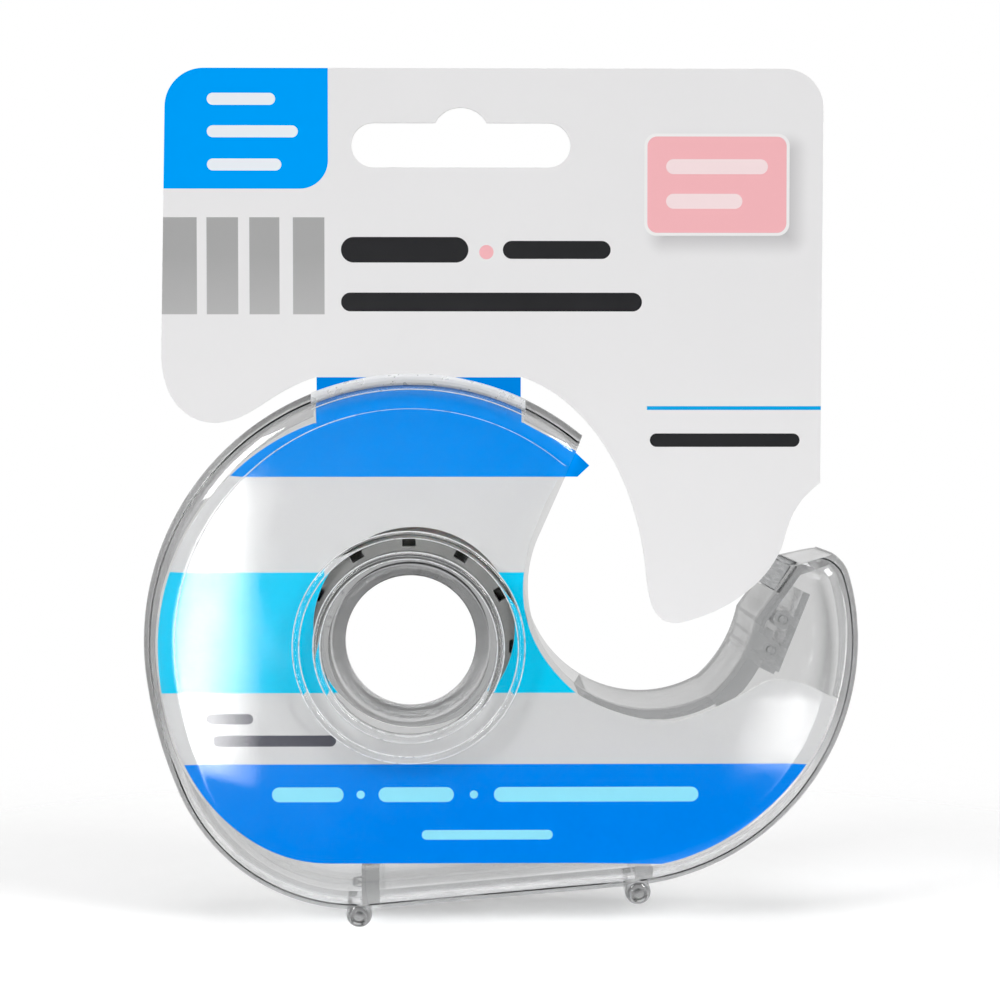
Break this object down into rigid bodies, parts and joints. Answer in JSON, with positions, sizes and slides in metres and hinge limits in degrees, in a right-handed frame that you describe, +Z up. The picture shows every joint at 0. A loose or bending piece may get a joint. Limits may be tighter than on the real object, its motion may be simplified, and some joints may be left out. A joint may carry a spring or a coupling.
{
  "type": "tape dispenser",
  "caption": "Clear snail-shaped tape dispenser on a printed hang card, with a roll that turns on its hub and a serrated cutter.",
  "frame": {"origin": "middle of the base, level with the lowest point of the foot ribs", "axes": "+Z up along the hang card, -Y out of the printed front, +X towards the cutter"},
  "size_m": [0.0966, 0.0234, 0.1154],
  "materials": {
    "clear_plastic": "polished clear polystyrene",
    "printed_card": "coated card with printed bands",
    "blade_steel": "stamped strip",
    "core_plastic": "satin",
    "wound_tape": "translucent film, glossy outside"
  },
  "bodies": {
    "case": {"front_cover": "clear_plastic", "rear_shell": "clear_plastic", "header_card": "printed_card", "cutter_blade": "blade_steel"},
    "roll": {"tape_core": "core_plastic", "tape_roll": "wound_tape"}
  },
  "joints": [
    {"name": "roll_spin", "type": "hinge", "parent": "case", "child": "roll", "pos_m": [-0.01245, 0.00021, 0.03815], "axis": [0, 1, 0], "continuous": true}
  ]
}
